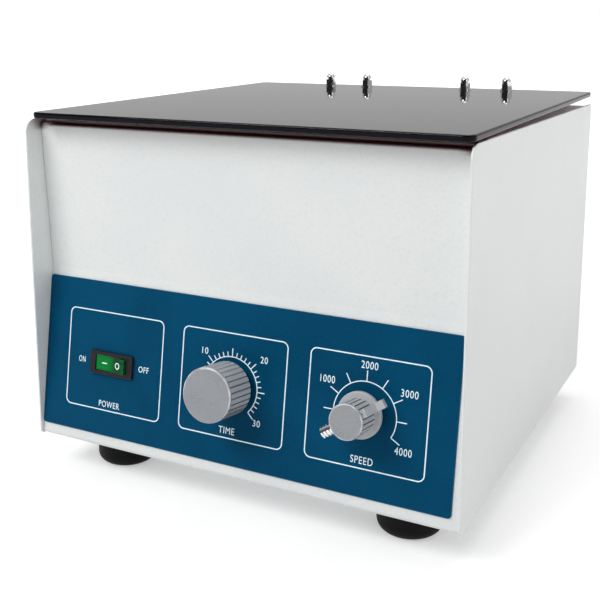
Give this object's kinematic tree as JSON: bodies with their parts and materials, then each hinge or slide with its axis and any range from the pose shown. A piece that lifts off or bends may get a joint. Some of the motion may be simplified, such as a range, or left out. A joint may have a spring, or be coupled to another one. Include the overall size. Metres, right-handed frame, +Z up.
{
  "type": "low-speed centrifuge",
  "caption": "Bench centrifuge: folded steel housing on rubber feet, slanting control panel, hinged dark lid over a bowl with an angle rotor.",
  "frame": {"origin": "under the middle of the whole object, on the surface that it stands on", "axes": "+Z up, front faces -Y, +X to the right as seen from the front"},
  "size_m": [0.3, 0.3368, 0.2598],
  "materials": {
    "body_paint": "fine off-white powder coat",
    "overlay_print": "printed blue, satin",
    "zinc_steel": "zinc plated sheet",
    "screw_steel": "bright zinc",
    "chrome": "polished",
    "hinge_steel": "nickel plated",
    "bowl_steel": "spun stainless",
    "black_rubber": "matt",
    "lid_acrylic": "dark tinted, polished",
    "motor_paint": "black enamel",
    "cast_alloy": "as cast, machined",
    "head_alloy": "turned, satin",
    "sleeve_steel": "drawn stainless",
    "shaft_steel": "ground",
    "magnet_ferrite": "dull",
    "black_plastic": "satin black",
    "rocker_green": "translucent green",
    "knob_grey": "fine grain grey",
    "timer_case": "natural nylon",
    "brass": "turned",
    "pot_case": "plated",
    "board_green": "solder mask",
    "board_black": "moulded"
  },
  "bodies": {
    "housing": {"base_plate": "zinc_steel", "left_side_panel": "body_paint", "right_side_panel": "body_paint", "front_fascia": "body_paint", "control_overlay": "overlay_print", "top_deck": "body_paint", "rear_panel": "body_paint", "rubber_feet": "black_rubber", "foot_screws": "screw_steel", "base_screws": "screw_steel", "deck_screws": "screw_steel", "rear_screws": "screw_steel", "bowl": "bowl_steel", "bowl_gasket": "black_rubber", "bowl_screws": "screw_steel", "lid_bumpers": "black_rubber", "hinge_body_leaves": "hinge_steel", "hinge_pins": "hinge_steel", "hinge_body_screws": "screw_steel", "motor_plate": "zinc_steel", "motor_mounts": "black_rubber", "motor_mount_screws": "screw_steel", "motor_case": "motor_paint", "motor_end_bell": "cast_alloy", "motor_bearings": "shaft_steel", "motor_magnets": "magnet_ferrite", "motor_brushes": "brass", "motor_screws": "screw_steel", "shaft_boot": "black_rubber", "switch_body": "black_plastic", "timer_body": "timer_case", "timer_bushing": "brass", "pot_body": "pot_case", "pot_nut": "brass", "board_standoffs": "screw_steel", "control_board": "board_green", "board_heatsink": "cast_alloy", "board_parts": "board_black", "power_inlet": "black_plastic", "inlet_blades": "brass", "inlet_screws": "screw_steel", "fuse_holder": "black_plastic"},
    "lid": {"lid": "lid_acrylic", "hinge_lid_leaves": "hinge_steel", "hinge_lid_screws": "screw_steel", "lid_washers": "chrome", "lid_cap_nuts": "chrome"},
    "rotor": {"motor_shaft": "shaft_steel", "armature": "shaft_steel", "rotor_head": "head_alloy", "tube_sleeves": "sleeve_steel", "rotor_nut": "chrome"},
    "time_control": {"timer_knob": "knob_grey", "timer_shaft": "shaft_steel"},
    "speed_control": {"speed_knob": "knob_grey", "speed_set_screw": "chrome", "pot_shaft": "shaft_steel"},
    "rocker": {"power_rocker": "rocker_green"}
  },
  "joints": [
    {"name": "lid_hinge", "type": "hinge", "parent": "housing", "child": "lid", "pos_m": [0, 0.16119, 0.2423], "axis": [-1, 0, 0], "range_deg": [0, 100]},
    {"name": "rotor_spin", "type": "hinge", "parent": "housing", "child": "rotor", "pos_m": [0, 0.01169, 0.205], "axis": [0, 0, 1], "continuous": true},
    {"name": "timer_turn", "type": "hinge", "parent": "housing", "child": "time_control", "pos_m": [-0.0018, -0.13799, 0.08056], "axis": [0, 0.9887, -0.1498], "range_deg": [0, 270]},
    {"name": "speed_turn", "type": "hinge", "parent": "housing", "child": "speed_control", "pos_m": [0.0882, -0.13787, 0.08135], "axis": [0, 0.9887, -0.1498], "range_deg": [-177, 63]},
    {"name": "rocker_tilt", "type": "hinge", "parent": "housing", "child": "rocker", "pos_m": [-0.0925, -0.13904, 0.08031], "axis": [0, 0.1498, 0.9887], "range_deg": [0, 14]}
  ]
}
